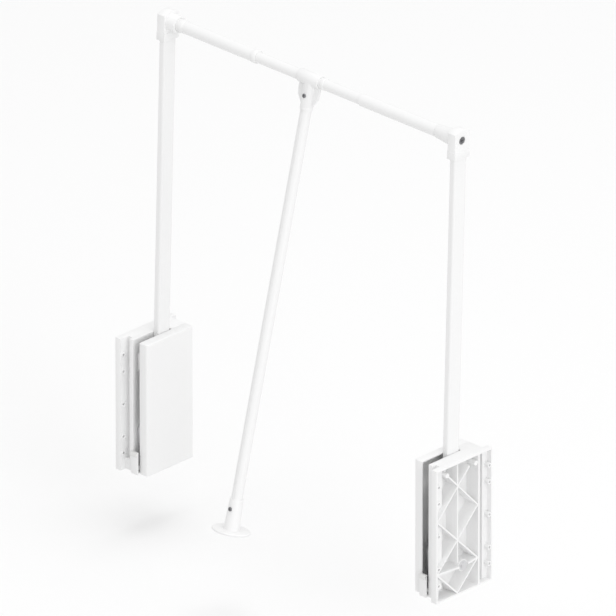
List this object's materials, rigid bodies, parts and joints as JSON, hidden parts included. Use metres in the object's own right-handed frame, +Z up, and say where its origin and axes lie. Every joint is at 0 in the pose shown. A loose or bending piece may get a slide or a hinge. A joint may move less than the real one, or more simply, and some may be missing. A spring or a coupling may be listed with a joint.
{
  "type": "pull down closet rod",
  "caption": "Wardrobe lift: a telescopic hanging rod on sprung side arms that pivot in wall-mounted housings, lowered by a pull rod with a disc foot.",
  "frame": {"origin": "centre of the left unit's screw pattern, on its wall face", "axes": "+X along the rod from the left wall face to the right one, +Z up, -Y out of the wardrobe towards the user"},
  "size_m": [0.79, 0.284, 0.8781],
  "materials": {
    "white_moulding": "fine satin ABS",
    "white_fittings": "satin ABS",
    "white_lacquer": "satin white lacquer on steel tube",
    "grey_polymer": "plain acetal",
    "soft_buffer": "matte soft moulding",
    "dark_screw": "dark zinc",
    "steel": "bright zinc",
    "spring_black": "black enamel"
  },
  "bodies": {
    "left_housing": {"left_base": "white_moulding", "left_cover": "white_moulding", "left_cover_screws": "dark_screw", "left_axle": "steel", "left_axle_clip": "steel", "left_lip_buffer": "soft_buffer", "left_rest_buffer": "grey_polymer", "left_spring_cylinder": "spring_black", "left_spring_saddle": "spring_black"},
    "left_plunger": {"left_spring_rod": "steel", "left_spring_piston": "steel", "left_yoke": "steel"},
    "left_arm": {"left_knuckle": "steel", "left_bushes": "grey_polymer", "left_crank_pin": "steel", "left_crank_roller": "grey_polymer", "left_arm_pin": "steel", "left_arm_tube": "white_lacquer", "left_head": "white_fittings", "left_head_screw": "dark_screw", "left_rod_plug": "grey_polymer", "left_rod_tube": "white_lacquer", "head_collar": "white_fittings", "left_rod_collar": "white_fittings"},
    "middle_rod": {"middle_rod_tube": "white_lacquer", "stop_collar": "white_fittings"},
    "pull_rod": {"t_connector": "white_fittings", "t_screw": "dark_screw", "pull_tube": "white_lacquer", "neck_ring": "white_fittings", "handle": "white_fittings", "handle_screw": "dark_screw"},
    "right_housing": {"right_base": "white_moulding", "right_cover": "white_moulding", "right_cover_screws": "dark_screw", "right_axle": "steel", "right_axle_clip": "steel", "right_lip_buffer": "soft_buffer", "right_rest_buffer": "grey_polymer", "right_spring_cylinder": "spring_black", "right_spring_saddle": "spring_black"},
    "right_plunger": {"right_spring_rod": "steel", "right_spring_piston": "steel", "right_yoke": "steel"},
    "right_arm": {"right_knuckle": "steel", "right_bushes": "grey_polymer", "right_crank_pin": "steel", "right_crank_roller": "grey_polymer", "right_arm_pin": "steel", "right_arm_tube": "white_lacquer", "right_head": "white_fittings", "right_head_screw": "dark_screw", "right_rod_plug": "grey_polymer", "right_rod_tube": "white_lacquer", "right_rod_sleeve": "white_fittings"}
  },
  "joints": [
    {"name": "left_arm_swing", "type": "hinge", "parent": "left_housing", "child": "left_arm", "pos_m": [0.0395, 0, -0.078], "axis": [1, 0, 0], "range_deg": [0, 84], "stiffness_Nm_per_rad": 8, "springref_deg": -34.38},
    {"name": "right_arm_swing", "type": "hinge", "parent": "right_housing", "child": "right_arm", "pos_m": [0.7505, 0, -0.078], "axis": [1, 0, 0], "range_deg": [0, 84], "stiffness_Nm_per_rad": 8, "springref_deg": -34.38},
    {"name": "left_plunger_slide", "type": "slide", "parent": "left_housing", "child": "left_plunger", "axis": [0, 0, 1], "range_m": [0, 0.0521]},
    {"name": "right_plunger_slide", "type": "slide", "parent": "right_housing", "child": "right_plunger", "axis": [0, 0, 1], "range_m": [0, 0.0521]},
    {"name": "width_adjust", "type": "slide", "parent": "left_housing", "child": "right_housing", "axis": [1, 0, 0], "range_m": [-0.12, 0.16]},
    {"name": "middle_rod_slide", "type": "slide", "parent": "left_arm", "child": "middle_rod", "axis": [1, 0, 0], "range_m": [-0.06, 0.08]},
    {"name": "pull_rod_swing", "type": "hinge", "parent": "middle_rod", "child": "pull_rod", "pos_m": [0.3925, 0.02394, 0.72864], "axis": [1, 0, 0], "range_deg": [-115, 20]}
  ],
  "couplings": [
    {"joint": "right_arm_swing", "follows": "left_arm_swing", "ratio": 1},
    {"joint": "left_plunger_slide", "follows": "left_arm_swing", "m_per_rad": 0.035492},
    {"joint": "right_plunger_slide", "follows": "left_arm_swing", "m_per_rad": 0.035492},
    {"joint": "middle_rod_slide", "follows": "width_adjust", "ratio": 0.5}
  ]
}
